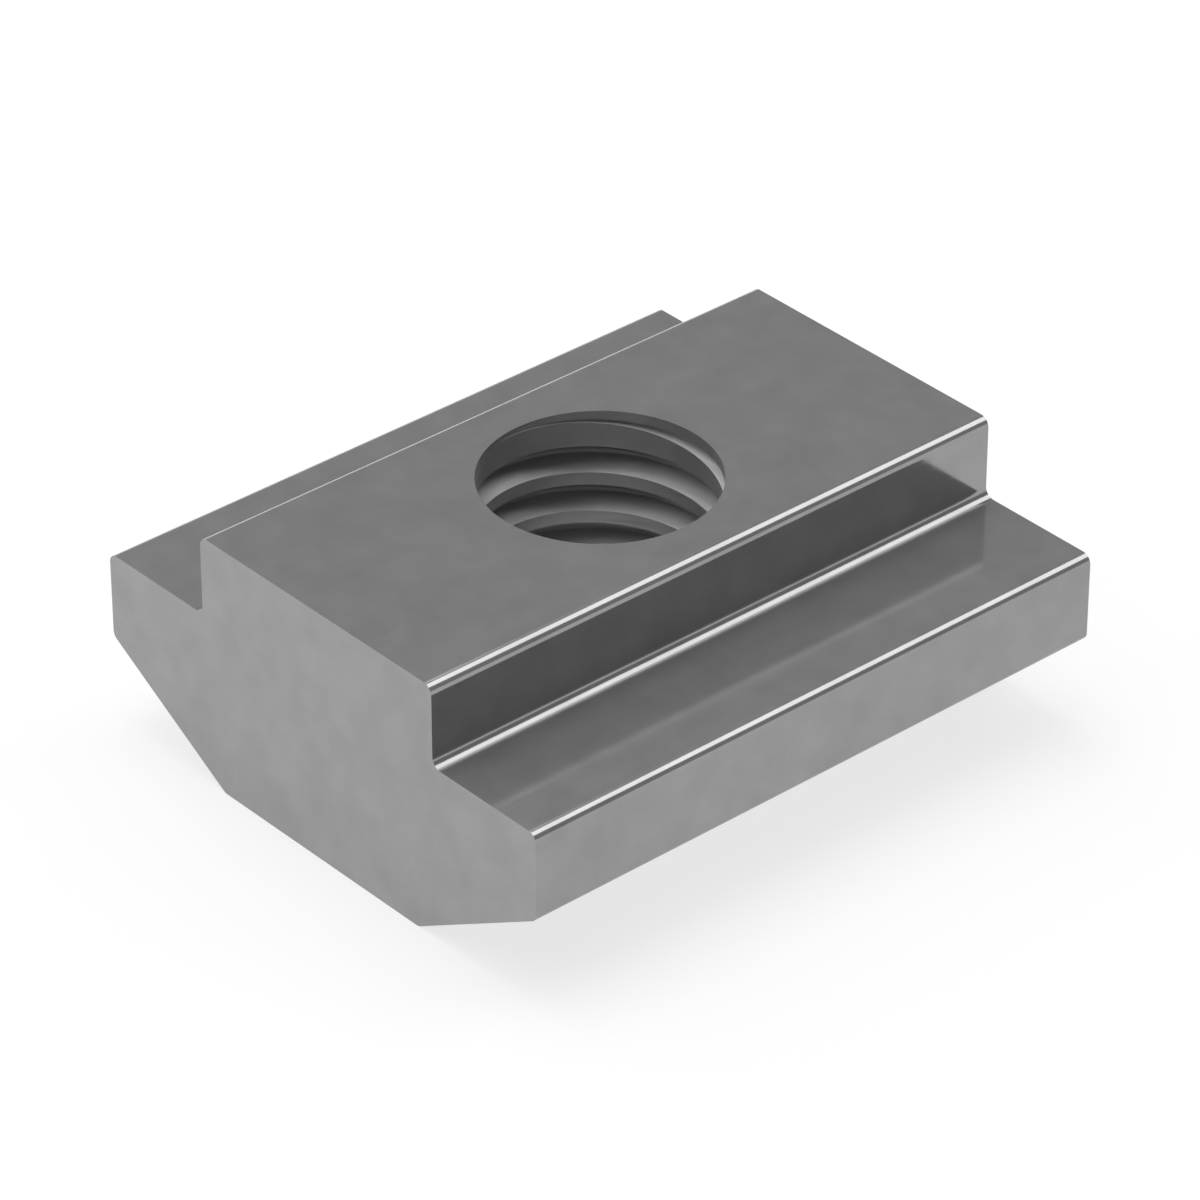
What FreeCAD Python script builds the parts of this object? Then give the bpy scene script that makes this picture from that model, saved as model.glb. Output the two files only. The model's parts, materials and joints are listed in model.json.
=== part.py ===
import FreeCAD, Part

import math
import os
from enum import IntEnum

import Sketcher

# T slot nut: a length of drawn T section bar with one tapping bore down through it.
# X runs along the nut, Y across it and Z up, with the neck upwards.
# The origin is the centre of the flat base, on the axis of the bore.

NODE = "t_slot_nut"

# Driving sizes in millimetres, each with what it means.
SIZES = [
    ("nut_length", 20.0, "length along the slot"),
    ("nut_height", 8.0, "base to the top of the neck"),
    ("flange_width", 17.8, "widest part, under the lips of the slot"),
    ("flange_side_height", 2.7, "upright side of the flange"),
    ("base_width", 8.2, "flat base between the two bevels"),
    ("neck_width", 9.6, "neck that rises between the lips of the slot"),
    ("neck_height", 2.5, "neck above the shoulders"),
    ("bore_diameter", 6.8, "tapping bore"),
    ("edge_radius", 0.3, "rounding of the outer long edges"),
    ("root_radius", 0.3, "rounding in the corner between neck and shoulder"),
]

# Two places closer than this, in millimetres, are the same place.
SAME_PLACE = 1e-4

# Lines of the section, anticlockwise from the base.
SECTION_LINES = [
    "BASE",
    "RIGHT_BEVEL",
    "RIGHT_SIDE",
    "RIGHT_SHOULDER",
    "RIGHT_NECK",
    "NECK_TOP",
    "LEFT_NECK",
    "LEFT_SHOULDER",
    "LEFT_SIDE",
    "LEFT_BEVEL",
]
Side = IntEnum("Side", SECTION_LINES, start=0)

# How a sketch numbers the two ends of a line and the centre of a circle.
At = IntEnum("At", ["START", "END", "CENTRE"])

# How a sketch numbers its own two axes. The start of each is the sketch's origin.
Axis = IntEnum("Axis", {"WIDTH": -1, "HEIGHT": -2})


def size_sheet(doc):
    """Spreadsheet of the driving sizes, each cell with an alias."""
    sheet = doc.addObject("Spreadsheet::Sheet", "Sizes")
    for row, (alias, value, meaning) in enumerate(SIZES, start=1):
        sheet.set(f"A{row}", alias)
        sheet.set(f"B{row}", str(value))
        sheet.set(f"C{row}", meaning)
        sheet.setAlias(f"B{row}", alias)
    doc.recompute()
    return sheet


def origin_plane(body, role):
    """One of the body's own origin planes."""
    return next(item for item in body.Origin.OriginFeatures if item.Role == role)


def plane_sketch(body, name, role):
    """Empty sketch that lies on one of the body's origin planes."""
    sketch = body.newObject("Sketcher::SketchObject", name)
    sketch.AttachmentSupport = [(origin_plane(body, role), "")]
    sketch.MapMode = "FlatFace"
    return sketch


def bind(sketch, constraint, alias):
    """Name a dimension of the sketch and tie it to a cell of the sheet."""
    index = sketch.addConstraint(constraint)
    sketch.renameConstraint(index, alias)
    sketch.setExpression(f"Constraints.{alias}", f"Sizes.{alias}")


def section_corners(sheet):
    """Sharp corners of the T section as (across, up), anticlockwise from the base."""
    base = sheet.base_width / 2
    flange = sheet.flange_width / 2
    neck = sheet.neck_width / 2
    top = sheet.nut_height
    shoulder = top - sheet.neck_height
    bevel = shoulder - sheet.flange_side_height
    right = [(base, 0), (flange, bevel), (flange, shoulder), (neck, shoulder), (neck, top)]
    left = [(-across, up) for across, up in reversed(right)]
    return [left[-1]] + right + left[:-1]


def draw_section(body, sheet):
    """Fully constrained T section: flat base, bevels, flange, shoulders and neck."""
    sketch = plane_sketch(body, "section", "YZ_Plane")
    corners = [FreeCAD.Vector(across, up, 0) for across, up in section_corners(sheet)]
    for start, end in zip(corners, corners[1:] + corners[:1]):
        sketch.addGeometry(Part.LineSegment(start, end), False)
    for side in Side:
        following = (side + 1) % len(Side)
        sketch.addConstraint(Sketcher.Constraint("Coincident", side, At.END, following, At.START))
    for side in (Side.RIGHT_SIDE, Side.RIGHT_NECK, Side.LEFT_NECK):
        sketch.addConstraint(Sketcher.Constraint("Vertical", side))
    for side in (Side.RIGHT_SHOULDER, Side.LEFT_SHOULDER):
        sketch.addConstraint(Sketcher.Constraint("Horizontal", side))
    mirrored = [
        (Side.BASE, Side.BASE),
        (Side.RIGHT_BEVEL, Side.LEFT_BEVEL),
        (Side.RIGHT_SIDE, Side.LEFT_SIDE),
        (Side.RIGHT_NECK, Side.LEFT_NECK),
    ]
    for right, left in mirrored:
        pair = (right, At.END, left, At.START, Axis.HEIGHT)
        sketch.addConstraint(Sketcher.Constraint("Symmetric", *pair))
    sketch.addConstraint(Sketcher.Constraint("PointOnObject", Side.BASE, At.END, Axis.WIDTH))
    widths = [
        ("base_width", Side.BASE, At.START, Side.BASE, At.END),
        ("flange_width", Side.LEFT_BEVEL, At.START, Side.RIGHT_BEVEL, At.END),
        ("neck_width", Side.NECK_TOP, At.END, Side.NECK_TOP, At.START),
    ]
    for alias, *ends in widths:
        bind(sketch, Sketcher.Constraint("DistanceX", *ends, getattr(sheet, alias)), alias)
    heights = [
        ("flange_side_height", Side.RIGHT_SIDE, At.START, Side.RIGHT_SIDE, At.END),
        ("neck_height", Side.RIGHT_NECK, At.START, Side.RIGHT_NECK, At.END),
        ("nut_height", Side.BASE, At.END, Side.NECK_TOP, At.START),
    ]
    for alias, *ends in heights:
        bind(sketch, Sketcher.Constraint("DistanceY", *ends, getattr(sheet, alias)), alias)
    return sketch


def pad_section(body, sketch):
    """Bar of the section, cut to length and centred on the bore."""
    bar = body.newObject("PartDesign::Pad", "bar")
    bar.Profile = sketch
    bar.SideType = "Symmetric"
    bar.setExpression("Length", "Sizes.nut_length")
    return bar


def long_edges_at(shape, places):
    """Names of the edges along X that pass through the given (across, up) places."""
    names = []
    for number, edge in enumerate(shape.Edges, start=1):
        first = edge.Vertexes[0].Point
        last = edge.Vertexes[-1].Point
        if math.hypot(first.y - last.y, first.z - last.z) > SAME_PLACE:
            continue
        for across, up in places:
            if math.hypot(first.y - across, first.z - up) < SAME_PLACE:
                names.append(f"Edge{number}")
    return names


def round_edges(body, base, name, places, alias):
    """Fillet on the long edges through the given places of the section."""
    names = long_edges_at(base.Shape, places)
    if len(names) != len(places):
        raise RuntimeError(f"{name}: found {len(names)} of {len(places)} edges")
    fillet = body.newObject("PartDesign::Fillet", name)
    fillet.Base = (base, names)
    fillet.setExpression("Radius", f"Sizes.{alias}")
    return fillet


def drill_bore(body, sheet):
    """Tapping bore, straight through from base to neck."""
    solid_volume = body.Shape.Volume
    sketch = plane_sketch(body, "bore_circle", "XY_Plane")
    centre = FreeCAD.Vector(0, 0, 0)
    upwards = FreeCAD.Vector(0, 0, 1)
    diameter = sheet.bore_diameter
    circle = sketch.addGeometry(Part.Circle(centre, upwards, diameter / 2), False)
    origin = (Axis.WIDTH, At.START)
    sketch.addConstraint(Sketcher.Constraint("Coincident", circle, At.CENTRE, *origin))
    bind(sketch, Sketcher.Constraint("Diameter", circle, diameter), "bore_diameter")
    bore = body.newObject("PartDesign::Pocket", "bore")
    bore.Profile = sketch
    bore.Type = "ThroughAll"
    bore.Reversed = True
    body.Document.recompute()
    drilled = solid_volume - bore.Shape.Volume
    cylinder = math.pi * (diameter / 2) ** 2 * sheet.nut_height
    if drilled < cylinder / 2:
        raise RuntimeError(f"bore removes only {drilled:.3f} of {cylinder:.3f} cubic mm")
    return bore


def build_nut(doc, sheet):
    """The whole nut: bar, rounded long edges and bore."""
    body = doc.addObject("PartDesign::Body", NODE)
    body.Label = NODE
    bar = pad_section(body, draw_section(body, sheet))
    doc.recompute()
    corners = section_corners(sheet)
    roots = [corners[Side.RIGHT_NECK], corners[Side.LEFT_SHOULDER]]
    outer = [corner for corner in corners if corner not in roots]
    rounded = round_edges(body, bar, "outer_rounds", outer, "edge_radius")
    doc.recompute()
    round_edges(body, rounded, "neck_root_rounds", roots, "root_radius")
    doc.recompute()
    drill_bore(body, sheet)
    return body


def check_document(doc, body):
    """Stop if any object failed or the nut isn't one valid solid."""
    for item in doc.Objects:
        if "Invalid" in item.State or "Error" in item.State:
            raise RuntimeError(f"{item.Label} is {item.State}")
    if body.Shape.isNull() or not body.Shape.isValid():
        raise RuntimeError(f"{body.Label} has no valid shape")
    if len(body.Shape.Solids) != 1:
        raise RuntimeError(f"{body.Label} has {len(body.Shape.Solids)} solids")


def main():
    doc = FreeCAD.newDocument("t_slot_nut_model")
    sheet = size_sheet(doc)
    nut = build_nut(doc, sheet)
    doc.recompute()
    check_document(doc, nut)
    os.makedirs("parts", exist_ok=True)
    nut.Shape.exportStep(f"parts/{nut.Label}.step")
    box = nut.Shape.BoundBox
    print(f"{nut.Label}: {box.XLength:.2f} x {box.YLength:.2f} x {box.ZLength:.2f} mm")
    print(f"{nut.Label}: {nut.Shape.Volume:.1f} cubic mm")


main()
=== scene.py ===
import json
import math

import bmesh
import bpy
from bpy.props import FloatProperty, FloatVectorProperty, IntProperty, PointerProperty
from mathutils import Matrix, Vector


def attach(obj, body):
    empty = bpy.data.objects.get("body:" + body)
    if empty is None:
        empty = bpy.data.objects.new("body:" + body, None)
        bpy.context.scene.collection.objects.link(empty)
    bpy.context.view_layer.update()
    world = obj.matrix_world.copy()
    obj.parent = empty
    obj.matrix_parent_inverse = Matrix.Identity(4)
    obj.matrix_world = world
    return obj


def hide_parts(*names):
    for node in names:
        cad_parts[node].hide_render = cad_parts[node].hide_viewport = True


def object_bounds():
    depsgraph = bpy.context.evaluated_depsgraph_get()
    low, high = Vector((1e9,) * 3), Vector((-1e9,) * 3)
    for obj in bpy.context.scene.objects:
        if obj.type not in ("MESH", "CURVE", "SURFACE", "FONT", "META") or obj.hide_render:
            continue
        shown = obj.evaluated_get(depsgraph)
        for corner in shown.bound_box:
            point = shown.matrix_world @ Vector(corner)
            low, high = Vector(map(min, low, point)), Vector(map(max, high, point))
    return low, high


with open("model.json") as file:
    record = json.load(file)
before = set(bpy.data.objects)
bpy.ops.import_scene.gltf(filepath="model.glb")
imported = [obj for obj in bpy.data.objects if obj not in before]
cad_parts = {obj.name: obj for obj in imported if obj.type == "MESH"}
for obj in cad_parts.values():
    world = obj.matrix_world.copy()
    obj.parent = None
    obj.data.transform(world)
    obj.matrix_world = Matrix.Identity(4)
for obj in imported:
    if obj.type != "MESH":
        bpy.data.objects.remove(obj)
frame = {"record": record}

bl_info = {
    "name": "T Slot Nut",
    "version": (1, 0, 0),
    "blender": (4, 5, 0),
    "location": "View3D > Sidebar > T Slot Nut",
    "description": "Makes a steel t slot nut with a tapped bore, and a plain pale stage for it",
    "category": "Object",
}

NODE = "t_slot_nut"
BODY = "root"
MM = 0.001

# The nut's outer box, shoulders and bore come from the frame.
CAD_LOW, CAD_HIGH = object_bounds()
MOUNTS = {mount["name"]: mount for mount in frame["record"]["mounts"]}
BORE_RADIUS = MOUNTS["thread"]["dims"]["r_mm"] * MM
SHOULDER_HEIGHT = MOUNTS["shoulder_left"]["pos_m"][2]

# Heights closer than this, in metres, are the same height.
SAME_HEIGHT = 1e-7

# Half of the angle between the two flanks of a metric thread.
FLANK_ANGLE = math.radians(30)

# Half of the flat that a metric thread has at its root, as a share of the pitch.
HALF_ROOT_SHARE = 1 / 16

# Faces across half of the rounded root of the thread.
ROOT_STEPS = 3

# Share of its full size below which the thread's groove isn't cut at all.
LEAST_SHARE = 0.002

# Bends sharper than this stay crisp when the mesh is shaded smooth.
CRISP_ANGLE = math.radians(35)

# Finishes in the order of the nut's material slots.
DRAWN_FINISH = 0
CUT_FINISH = 1
TAPPED_FINISH = 2

# Clouds of the steel's colour and lines of its grain, in a metre along each axis.
CLOUDS = (950, 950, 950)
DRAWN_GRAIN = (60, 7000, 7000)
CUT_GRAIN = (5000, 90, 6000)
TAPPED_GRAIN = (300, 300, 9000)

# Layers of finer noise in the clouds and in the grain.
CLOUD_DETAIL = 3
GRAIN_DETAIL = 2

# Range that most of a noise lies in.
NOISE_LOW = 0.3
NOISE_HIGH = 0.7

# Relief of the grain in metres, and share by which it changes the roughness.
GRAIN_DEPTH = 0.15e-6
ROUGHNESS_CHANGE = 0.2

WHITE = (1, 1, 1, 1)


class NutSizes(bpy.types.PropertyGroup):
    """Sizes of the nut, which lies along X with its neck up."""

    length: FloatProperty(
        name="Length", description="Length along the slot",
        default=CAD_HIGH.x - CAD_LOW.x, unit="LENGTH", precision=4,
    )
    height: FloatProperty(
        name="Height", description="Base to the top of the neck",
        default=CAD_HIGH.z, unit="LENGTH", precision=4,
    )
    flange_width: FloatProperty(
        name="Flange width", description="Widest part, under the lips of the slot",
        default=CAD_HIGH.y - CAD_LOW.y, unit="LENGTH", precision=4,
    )
    shoulder_height: FloatProperty(
        name="Shoulder height", description="Base to the shoulders beside the neck",
        default=SHOULDER_HEIGHT, unit="LENGTH", precision=4,
    )
    flange_side_height: FloatProperty(
        name="Flange side height", description="Upright side of the flange",
        default=2.7 * MM, unit="LENGTH", precision=4,
    )
    base_width: FloatProperty(
        name="Base width", description="Flat base between the two bevels",
        default=8.2 * MM, unit="LENGTH", precision=4,
    )
    neck_width: FloatProperty(
        name="Neck width", description="Neck that rises between the lips of the slot",
        default=9.6 * MM, unit="LENGTH", precision=4,
    )
    edge_radius: FloatProperty(
        name="Edge radius", description="Rounding of the outer long edges",
        default=0.3 * MM, unit="LENGTH", precision=4,
    )
    root_radius: FloatProperty(
        name="Root radius", description="Rounding in the corner between neck and shoulder",
        default=0.3 * MM, unit="LENGTH", precision=4,
    )
    arc_steps: IntProperty(
        name="Arc steps", description="Faces in a quarter turn of a rounded edge",
        default=12, min=2,
    )
    bore_radius: FloatProperty(
        name="Bore radius", description="Radius of the tapping bore, where the thread's crests lie",
        default=BORE_RADIUS, unit="LENGTH", precision=4,
    )
    bore_steps: IntProperty(
        name="Bore steps", description="Faces round the bore, a multiple of four",
        default=144, min=16, step=4,
    )
    thread_radius: FloatProperty(
        name="Thread radius", description="Radius at the root of the thread",
        default=4.0 * MM, unit="LENGTH", precision=4,
    )
    thread_pitch: FloatProperty(
        name="Thread pitch", description="Rise of the thread in one turn",
        default=1.25 * MM, unit="LENGTH", precision=5,
    )
    plain_land: FloatProperty(
        name="Plain land", description="Plain bore at each face before the thread starts",
        default=0.1 * MM, unit="LENGTH", precision=5,
    )
    thread_run_in: FloatProperty(
        name="Thread run-in", description="Height in which the thread grows to its full depth",
        default=0.9 * MM, unit="LENGTH", precision=5,
    )


class SteelFinish(bpy.types.PropertyGroup):
    """Colour and polish of the steel."""

    drawn_colour: FloatVectorProperty(
        name="Drawn steel", description="Colour of the long faces, drawn bright",
        default=(0.38, 0.38, 0.38), subtype="COLOR", size=3, min=0, max=1,
    )
    # Steel colour of the ends, a little lighter than the long faces as painted light, for ends that
    # catch more light.
    cut_colour_with_painted_light: FloatVectorProperty(
        name="Cut steel", description="Colour of the two ends, cut to length",
        default=(0.385, 0.385, 0.385), subtype="COLOR", size=3, min=0, max=1,
    )
    # Steel colour of the bore, lighter than the long faces as painted light that lifts the shade
    # inside the bore.
    tapped_colour_with_painted_light: FloatVectorProperty(
        name="Tapped steel", description="Colour of the threaded bore",
        default=(0.42, 0.42, 0.42), subtype="COLOR", size=3, min=0, max=1,
    )
    metallic: FloatProperty(
        name="Metallic", description="Share of the surface that mirrors like metal",
        default=0.66, min=0, max=1,
    )
    drawn_roughness: FloatProperty(
        name="Drawn roughness", description="Roughness of the long faces",
        default=0.12, min=0, max=1,
    )
    cut_roughness: FloatProperty(
        name="Cut roughness", description="Roughness of the two ends",
        default=0.16, min=0, max=1,
    )
    tapped_roughness: FloatProperty(
        name="Tapped roughness", description="Roughness of the threaded bore",
        default=0.45, min=0, max=1,
    )
    cloud_change: FloatProperty(
        name="Clouds", description="Share by which the colour gets lighter and darker in clouds",
        default=0.06, min=0, max=1,
    )


class StageSettings(bpy.types.PropertyGroup):
    """Floor, light and camera."""

    floor_colour: FloatVectorProperty(
        name="Floor", description="Colour of the matt floor beside the nut, which takes its shadow",
        default=(0.27, 0.27, 0.27), subtype="COLOR", size=3, min=0, max=1,
    )
    floor_white: FloatProperty(
        name="Floor white", description="White that the camera and the metal see beside the nut",
        default=0.75, min=0, max=1,
    )
    sky_grey: FloatProperty(
        name="Sky grey", description="Grey that the metal shows of the room above the nut",
        default=0.26, min=0, max=1,
    )
    sky_light: FloatProperty(
        name="Sky light", description="Brightness with which the room lights the nut",
        default=0.05, min=0, max=1,
    )
    horizon_white: FloatProperty(
        name="Horizon white", description="White of the room's lowest strip, behind the floor",
        default=1.0, min=0, max=1,
    )
    overhead_white: FloatProperty(
        name="Overhead light", description="Brightness of the soft light overhead, where 1 is white",
        default=1.2, min=0,
    )
    side_white: FloatProperty(
        name="Side light", description="Brightness of the soft light at the side, where 1 is white",
        default=2.4, min=0,
    )
    fill_white: FloatProperty(
        name="Fill light", description="Brightness of the light that metal doesn't mirror",
        default=3.9, min=0,
    )
    lens: FloatProperty(
        name="Lens", description="Focal length of the camera, in millimetres",
        default=189.0, min=1,
    )


def section_corners(sizes):
    """Sharp corners of the T section as (across, up), anticlockwise from the base."""
    base = sizes.base_width / 2
    flange = sizes.flange_width / 2
    neck = sizes.neck_width / 2
    top = sizes.height
    shoulder = sizes.shoulder_height
    bevel = shoulder - sizes.flange_side_height
    right = [(base, 0), (flange, bevel), (flange, shoulder), (neck, shoulder), (neck, top)]
    left = [(-across, up) for across, up in reversed(right)]
    return [Vector(corner) for corner in [left[-1]] + right + left[:-1]]


def rounded_corner(before, corner, after, radius, arc_steps):
    """Points of the arc that rounds one corner of the section."""
    back = (before - corner).normalized()
    onward = (after - corner).normalized()
    half_opening = back.angle(onward) / 2
    centre = corner + (back + onward).normalized() * (radius / math.sin(half_opening))
    first = corner + back * (radius / math.tan(half_opening)) - centre
    last = corner + onward * (radius / math.tan(half_opening)) - centre
    start = math.atan2(first.y, first.x)
    turn = math.remainder(math.atan2(last.y, last.x) - start, 2 * math.pi)
    steps = max(2, round(arc_steps * abs(turn) / math.radians(90)))
    angles = [start + turn * step / steps for step in range(steps + 1)]
    return [centre + radius * Vector((math.cos(angle), math.sin(angle))) for angle in angles]


def section_outline(sizes):
    """Outline of the T section with every long edge rounded."""
    corners = section_corners(sizes)
    outline = []
    for number, corner in enumerate(corners):
        before = corners[number - 1]
        after = corners[(number + 1) % len(corners)]
        is_root = (corner - before).cross(after - corner) < 0
        radius = sizes.root_radius if is_root else sizes.edge_radius
        outline += rounded_corner(before, corner, after, radius, sizes.arc_steps)
    return outline


def groove_section(sizes):
    """Section of the thread's groove as (rise, depth): flank, rounded root and flank."""
    half_root = sizes.thread_pitch * HALF_ROOT_SHARE
    root_round = half_root / math.tan(FLANK_ANGLE)
    full_depth = sizes.thread_radius - sizes.bore_radius
    end_angle = math.radians(90) - FLANK_ANGLE
    upper = []
    for step in range(ROOT_STEPS + 1):
        angle = end_angle * step / ROOT_STEPS
        upper.append((root_round * math.sin(angle), full_depth - root_round * (1 - math.cos(angle))))
    upper.append((half_root + full_depth * math.tan(FLANK_ANGLE), 0))
    lower = [(-rise, depth) for rise, depth in reversed(upper)]
    return lower[:-1] + upper


def groove_share(sizes, middle):
    """Share of its full size that the groove has where its middle is at a height in the bore."""
    from_face = min(middle, sizes.height - middle) - sizes.plain_land
    run = min(1, max(0, from_face / sizes.thread_run_in))
    share = run * run * (3 - 2 * run)
    return share if share > LEAST_SHARE else 0


def bore_column(mesh, sizes, section, step, rims):
    """Upright column of vertices on the threaded wall, where grooves not yet cut lie on a rim."""
    part_turn = step / sizes.bore_steps
    angle = 2 * math.pi * part_turn
    column = []
    for turn in range(-1, math.ceil(sizes.height / sizes.thread_pitch) + 1):
        middle = (turn + part_turn) * sizes.thread_pitch
        share = groove_share(sizes, middle)
        for rise, depth in section:
            reach = sizes.bore_radius + depth * share
            place = (reach * math.cos(angle), reach * math.sin(angle), middle + rise * share)
            nearer_rim = rims[0] if middle < sizes.height / 2 else rims[1]
            column.append(mesh.verts.new(place) if share > 0 else nearer_rim[step])
    return column


def bore_wall(mesh, sizes, base_rim, top_rim):
    """Faces of the threaded wall between the rims."""
    section = groove_section(sizes)
    rows_in_turn = len(section)
    rims = (base_rim, top_rim)
    steps = range(sizes.bore_steps)
    columns = [bore_column(mesh, sizes, section, step, rims) for step in steps]
    for step, column in enumerate(columns):
        beside = columns[(step + 1) % len(columns)]
        shift = rows_in_turn if step == len(columns) - 1 else 0
        for row in range(len(column) - 1 - shift):
            across = beside[row + shift]
            across_above = beside[row + 1 + shift]
            loop = dict.fromkeys((column[row], column[row + 1], across_above, across))
            if len(loop) > 2:
                face = mesh.faces.new(loop)
                face.material_index = TAPPED_FINISH


def rim(mesh, sizes, up):
    """Round rim of the bore in one face."""
    angles = [2 * math.pi * step / sizes.bore_steps for step in range(sizes.bore_steps)]
    reach = sizes.bore_radius
    return [mesh.verts.new((reach * math.cos(a), reach * math.sin(a), up)) for a in angles]


def pierced_face(mesh, circle, corners, faces_up):
    """Flat four-cornered face with a round hole in it."""
    quarter = len(circle) // 4
    loops = []
    for number, corner in enumerate(corners):
        arc = [circle[(number * quarter + step) % len(circle)] for step in range(quarter + 1)]
        loops += [(first, corner, second) for first, second in zip(arc, arc[1:])]
        loops.append((arc[-1], corner, corners[(number + 1) % len(corners)]))
    for loop in loops:
        mesh.faces.new(loop if faces_up else loop[::-1])


def nut_mesh(sizes):
    """The whole nut: rounded T bar, two cut ends and a threaded bore."""
    mesh = bmesh.new()
    outline = section_outline(sizes)
    half_length = sizes.length / 2
    near = [mesh.verts.new((-half_length, *point)) for point in outline]
    far = [mesh.verts.new((half_length, *point)) for point in outline]
    mesh.faces.new(near[::-1]).material_index = CUT_FINISH
    mesh.faces.new(far).material_index = CUT_FINISH
    base_rim = rim(mesh, sizes, 0)
    top_rim = rim(mesh, sizes, sizes.height)
    for here in range(len(outline)):
        onward = (here + 1) % len(outline)
        first, second = outline[here], outline[onward]
        is_level = math.isclose(first.y, second.y, abs_tol=SAME_HEIGHT)
        is_flat = is_level and (second - first).length > sizes.edge_radius
        if is_flat and math.isclose(first.y, 0, abs_tol=SAME_HEIGHT):
            corners = (far[onward], near[onward], near[here], far[here])
            pierced_face(mesh, base_rim, corners, faces_up=False)
        elif is_flat and math.isclose(first.y, sizes.height, abs_tol=SAME_HEIGHT):
            corners = (far[here], near[here], near[onward], far[onward])
            pierced_face(mesh, top_rim, corners, faces_up=True)
        else:
            mesh.faces.new((near[here], near[onward], far[onward], far[here]))
    bore_wall(mesh, sizes, base_rim, top_rim)
    return mesh


def shade_smooth(piece):
    """Smooth shading with crisp edges, and flats that stay flat beside their rounded edges."""
    piece.data.polygons.foreach_set("use_smooth", [True] * len(piece.data.polygons))
    piece.data.set_sharp_from_angle(angle=CRISP_ANGLE)
    weighted = piece.modifiers.new("flat_faces_rule", "WEIGHTED_NORMAL")
    weighted.keep_sharp = True


class FinishNodes:
    """Small helper that adds nodes to one material and links them."""

    def __init__(self, name):
        self.material = bpy.data.materials.new(name)
        self.material.use_nodes = True
        self.tree = self.material.node_tree
        self.shader = self.tree.nodes["Principled BSDF"]
        self.place = self.tree.nodes.new("ShaderNodeTexCoord").outputs["Object"]

    def link(self, output, socket):
        self.tree.links.new(output, socket)

    def noise(self, scale, detail):
        """Cloudy noise with so many features in a metre along each axis."""
        mapping = self.tree.nodes.new("ShaderNodeMapping")
        mapping.inputs["Scale"].default_value = scale
        self.link(self.place, mapping.inputs["Vector"])
        texture = self.tree.nodes.new("ShaderNodeTexNoise")
        texture.inputs["Scale"].default_value = 1
        texture.inputs["Detail"].default_value = detail
        self.link(mapping.outputs["Vector"], texture.inputs["Vector"])
        return texture.outputs["Fac"]

    def spread(self, value, low, high):
        """Noise value spread over a range."""
        node = self.tree.nodes.new("ShaderNodeMapRange")
        node.inputs["From Min"].default_value = NOISE_LOW
        node.inputs["From Max"].default_value = NOISE_HIGH
        node.inputs["To Min"].default_value = low
        node.inputs["To Max"].default_value = high
        self.link(value, node.inputs["Value"])
        return node.outputs["Result"]

    def tint(self, value, colour, change):
        """Colour that gets a little lighter and darker with the noise."""
        node = self.tree.nodes.new("ShaderNodeMix")
        node.data_type = "RGBA"
        darker = [part * (1 - change) for part in colour]
        lighter = [part * (1 + change) for part in colour]
        node.inputs["A"].default_value = (*darker, 1)
        node.inputs["B"].default_value = (*lighter, 1)
        self.link(self.spread(value, 0, 1), node.inputs["Factor"])
        return node.outputs["Result"]

    def bump(self, value, depth):
        """Surface relief of that depth in metres."""
        node = self.tree.nodes.new("ShaderNodeBump")
        node.inputs["Distance"].default_value = depth
        self.link(value, node.inputs["Height"])
        self.link(node.outputs["Normal"], self.shader.inputs["Normal"])


def steel_surface(name, finish, colour, roughness, grain):
    """Steel with faint clouds and a fine grain, given as lines in a metre along each axis."""
    nodes = FinishNodes(name)
    clouds = nodes.noise(CLOUDS, CLOUD_DETAIL)
    lines = nodes.noise(grain, GRAIN_DETAIL)
    nodes.shader.inputs["Metallic"].default_value = finish.metallic
    tint = nodes.tint(clouds, colour, finish.cloud_change)
    nodes.link(tint, nodes.shader.inputs["Base Color"])
    smoothest = roughness * (1 - ROUGHNESS_CHANGE)
    roughest = roughness * (1 + ROUGHNESS_CHANGE)
    nodes.link(nodes.spread(lines, smoothest, roughest), nodes.shader.inputs["Roughness"])
    nodes.bump(lines, GRAIN_DEPTH)
    return nodes.material


def drawn_steel(finish):
    """Long faces, with the fine lines that drawing leaves along the bar."""
    return steel_surface(
        "drawn_steel", finish, finish.drawn_colour, finish.drawn_roughness, DRAWN_GRAIN)


def cut_steel(finish):
    """Ends, with the fine marks of the cut across the section, in a colour made a little lighter as
    painted light.
    """
    return steel_surface("cut_steel", finish, finish.cut_colour_with_painted_light, finish.cut_roughness, CUT_GRAIN)


def tapped_steel(finish):
    """Threaded bore, with faint rings left by the tap, in a colour made lighter as painted light for
    the shaded bore.
    """
    return steel_surface(
        "tapped_steel", finish, finish.tapped_colour_with_painted_light, finish.tapped_roughness, TAPPED_GRAIN)


class OBJECT_OT_make_nut(bpy.types.Operator):
    """Make the nut from its sizes and give it its steel finishes"""

    bl_idname = "object.make_t_slot_nut"
    bl_label = "Make Nut"
    bl_options = {"REGISTER", "UNDO"}

    def execute(self, context):
        finish = context.scene.steel_finish
        mesh = nut_mesh(context.scene.nut_sizes)
        data = bpy.data.meshes.new("tapped_nut")
        mesh.to_mesh(data)
        mesh.free()
        nut = bpy.data.objects.new("tapped_nut", data)
        context.scene.collection.objects.link(nut)
        for material in (drawn_steel(finish), cut_steel(finish), tapped_steel(finish)):
            data.materials.append(material)
        shade_smooth(nut)
        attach(nut, BODY)
        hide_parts(NODE)
        return {"FINISHED"}


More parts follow.
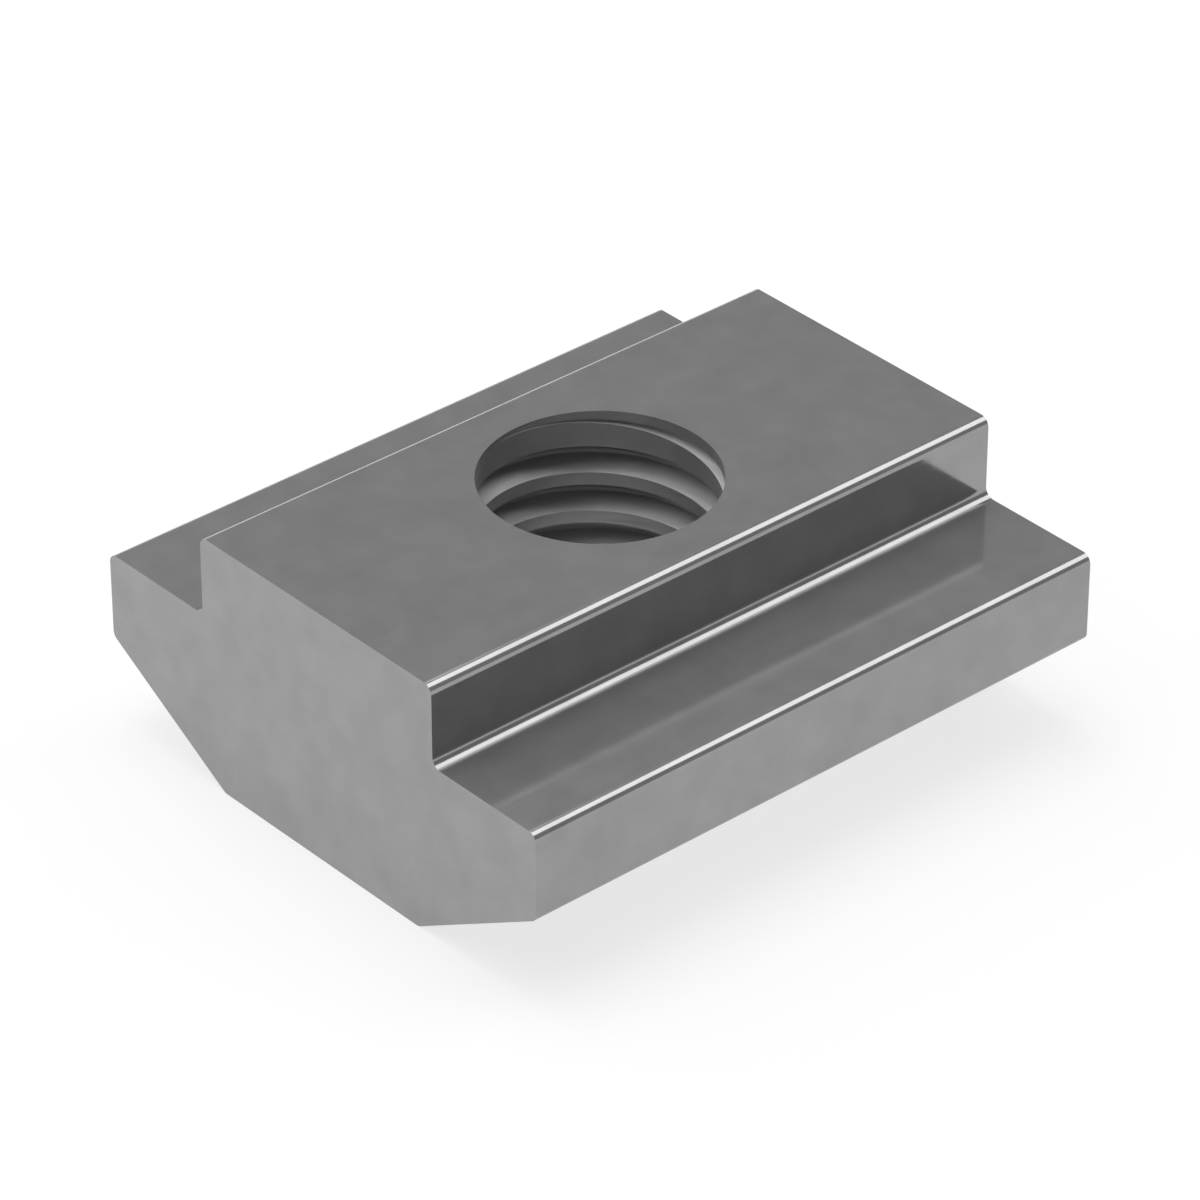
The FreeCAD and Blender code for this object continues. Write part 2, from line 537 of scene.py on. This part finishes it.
# Stage, in metres. The nut stands on the floor at its base.
FLOOR_SIDE = 6.0
MATT_FLOOR_RADIUS = 0.05
WHITE_FLOOR_RADIUS = 0.25
OVERHEAD_PLACE = Vector((-0.06, 0.12, 0.26))
OVERHEAD_DIAMETER = 0.54
SIDE_PLACE = Vector((0.20, -0.078, 0.27))
SIDE_DIAMETER = 0.22
FILL_PLACE = Vector((0, 0.05, 0.29))
FILL_DIAMETER = 0.16
CAMERA_PLACE = Vector((-0.09545, -0.10864, 0.09846))
NEAREST_SEEN = 0.001
FURTHEST_SEEN = 10

# Sine of the height above the horizon where the room's pale lowest strip ends and begins to fade.
STRIP_FADE_START = 0.10
STRIP_FADE_END = 0.22


def math_node(tree, operation, *inputs):
    """Output of a Math node whose inputs are numbers or the outputs of other nodes."""
    node = tree.nodes.new("ShaderNodeMath")
    node.operation = operation
    for socket, value in zip(node.inputs, inputs):
        if isinstance(value, (int, float)):
            socket.default_value = value
        else:
            tree.links.new(value, socket)
    return node.outputs["Value"]


def seen_directly(tree):
    """One for what the camera, polished metal and glass see, and zero for scattered light."""
    rays = tree.nodes.new("ShaderNodeLightPath").outputs
    seen = math_node(tree, "MAXIMUM", rays["Is Camera Ray"], rays["Is Glossy Ray"])
    return math_node(tree, "MAXIMUM", seen, rays["Is Transmission Ray"])


def white_surface(tree, strength):
    """Shader of a plain white surface with that strength."""
    white = tree.nodes.new("ShaderNodeEmission")
    tree.links.new(strength, white.inputs["Strength"])
    return white.outputs["Emission"]


def distance_share(tree):
    """Zero on the floor beside the nut, growing smoothly to one further off."""
    place = tree.nodes.new("ShaderNodeTexCoord")
    distance = tree.nodes.new("ShaderNodeVectorMath")
    distance.operation = "LENGTH"
    tree.links.new(place.outputs["Object"], distance.inputs[0])
    share = tree.nodes.new("ShaderNodeMapRange")
    share.interpolation_type = "SMOOTHSTEP"
    share.inputs["From Min"].default_value = MATT_FLOOR_RADIUS
    share.inputs["From Max"].default_value = WHITE_FLOOR_RADIUS
    tree.links.new(distance.outputs["Value"], share.inputs["Value"])
    return share.outputs["Result"]


def floor_material(stage):
    """Pale floor: matt beside the nut, where its shadow falls, and plain white further off."""
    material = bpy.data.materials.new("pale_floor")
    material.use_nodes = True
    tree = material.node_tree
    tree.nodes.clear()
    seen = seen_directly(tree)
    matt = tree.nodes.new("ShaderNodeBsdfDiffuse")
    matt.inputs["Color"].default_value = (*stage.floor_colour, 1)
    pale = white_surface(tree, math_node(tree, "MULTIPLY", seen, stage.floor_white))
    beside = tree.nodes.new("ShaderNodeAddShader")
    tree.links.new(matt.outputs["BSDF"], beside.inputs[0])
    tree.links.new(pale, beside.inputs[1])
    floor = tree.nodes.new("ShaderNodeMixShader")
    tree.links.new(distance_share(tree), floor.inputs["Fac"])
    tree.links.new(beside.outputs["Shader"], floor.inputs[1])
    tree.links.new(white_surface(tree, seen), floor.inputs[2])
    output = tree.nodes.new("ShaderNodeOutputMaterial")
    tree.links.new(floor.outputs["Shader"], output.inputs["Surface"])
    return material


def make_floor(scene, stage):
    """Large flat floor under the nut."""
    half = FLOOR_SIDE / 2
    data = bpy.data.meshes.new("floor")
    corners = [(-half, -half, 0), (half, -half, 0), (half, half, 0), (-half, half, 0)]
    data.from_pydata(corners, [], [(0, 1, 2, 3)])
    floor = bpy.data.objects.new("floor", data)
    floor.location.z = CAD_LOW.z
    data.materials.append(floor_material(stage))
    scene.collection.objects.link(floor)


def make_room(scene, stage):
    """Plain grey room, whose lowest strip looks white behind the floor."""
    world = bpy.data.worlds.new("plain_room")
    world.use_nodes = True
    tree = world.node_tree
    place = tree.nodes.new("ShaderNodeTexCoord")
    split = tree.nodes.new("ShaderNodeSeparateXYZ")
    tree.links.new(place.outputs["Generated"], split.inputs["Vector"])
    strip = tree.nodes.new("ShaderNodeMapRange")
    strip.interpolation_type = "SMOOTHSTEP"
    strip.inputs["From Min"].default_value = STRIP_FADE_START
    strip.inputs["From Max"].default_value = STRIP_FADE_END
    strip.inputs["To Min"].default_value = stage.horizon_white - stage.sky_light
    strip.inputs["To Max"].default_value = stage.sky_grey - stage.sky_light
    tree.links.new(split.outputs["Z"], strip.inputs["Value"])
    added = math_node(tree, "MULTIPLY", strip.outputs["Result"], seen_directly(tree))
    strength = math_node(tree, "ADD", added, stage.sky_light)
    tree.links.new(strength, tree.nodes["Background"].inputs["Strength"])
    tree.nodes["Background"].inputs["Color"].default_value = WHITE
    scene.world = world


def make_soft_light(scene, name, place, diameter, white):
    """Round soft light that faces the nut, with its brightness given where 1 is white."""
    lamp = bpy.data.lights.new(name, "AREA")
    lamp.shape = "DISK"
    lamp.size = diameter
    lamp.energy = white * math.pi * math.pi * (diameter / 2) ** 2
    light = bpy.data.objects.new(name, lamp)
    light.location = place
    light.rotation_euler = place.to_track_quat("Z", "Y").to_euler()
    scene.collection.objects.link(light)
    return light


def make_camera(scene, stage):
    """Camera that looks down at the nut's near end and one shoulder."""
    data = bpy.data.cameras.new("camera")
    data.lens = stage.lens
    data.clip_start = NEAREST_SEEN
    data.clip_end = FURTHEST_SEEN
    camera = bpy.data.objects.new("camera", data)
    aim = (CAD_LOW + CAD_HIGH) / 2
    camera.location = CAMERA_PLACE
    camera.rotation_euler = (CAMERA_PLACE - aim).to_track_quat("Z", "Y").to_euler()
    scene.collection.objects.link(camera)
    scene.camera = camera


class SCENE_OT_make_stage(bpy.types.Operator):
    """Make the floor, the room, the light and the camera"""

    bl_idname = "scene.make_nut_stage"
    bl_label = "Make Stage"
    bl_options = {"REGISTER", "UNDO"}

    def execute(self, context):
        scene = context.scene
        stage = scene.stage_settings
        make_floor(scene, stage)
        make_room(scene, stage)
        make_soft_light(
            scene, "overhead_light", OVERHEAD_PLACE, OVERHEAD_DIAMETER, stage.overhead_white)
        make_soft_light(scene, "side_light", SIDE_PLACE, SIDE_DIAMETER, stage.side_white)
        fill = make_soft_light(scene, "fill_light", FILL_PLACE, FILL_DIAMETER, stage.fill_white)
        fill.visible_glossy = False
        make_camera(scene, stage)
        scene.view_settings.view_transform = "Standard"
        return {"FINISHED"}


class VIEW3D_PT_t_slot_nut(bpy.types.Panel):
    """Settings and buttons of the nut and its stage"""

    bl_idname = "VIEW3D_PT_t_slot_nut"
    bl_label = "T Slot Nut"
    bl_space_type = "VIEW_3D"
    bl_region_type = "UI"
    bl_category = "T Slot Nut"

    def draw(self, context):
        scene = context.scene
        for group in (scene.nut_sizes, scene.steel_finish):
            for name in group.__annotations__:
                self.layout.prop(group, name)
        self.layout.operator(OBJECT_OT_make_nut.bl_idname)
        for name in scene.stage_settings.__annotations__:
            self.layout.prop(scene.stage_settings, name)
        self.layout.operator(SCENE_OT_make_stage.bl_idname)


CLASSES = (
    NutSizes,
    SteelFinish,
    StageSettings,
    OBJECT_OT_make_nut,
    SCENE_OT_make_stage,
    VIEW3D_PT_t_slot_nut,
)


def register():
    for item in CLASSES:
        bpy.utils.register_class(item)
    bpy.types.Scene.nut_sizes = PointerProperty(type=NutSizes)
    bpy.types.Scene.steel_finish = PointerProperty(type=SteelFinish)
    bpy.types.Scene.stage_settings = PointerProperty(type=StageSettings)


def unregister():
    del bpy.types.Scene.stage_settings
    del bpy.types.Scene.steel_finish
    del bpy.types.Scene.nut_sizes
    for item in reversed(CLASSES):
        bpy.utils.unregister_class(item)


def main():
    register()
    bpy.ops.object.make_t_slot_nut()
    bpy.ops.scene.make_nut_stage()


if __name__ == "__main__":
    main()
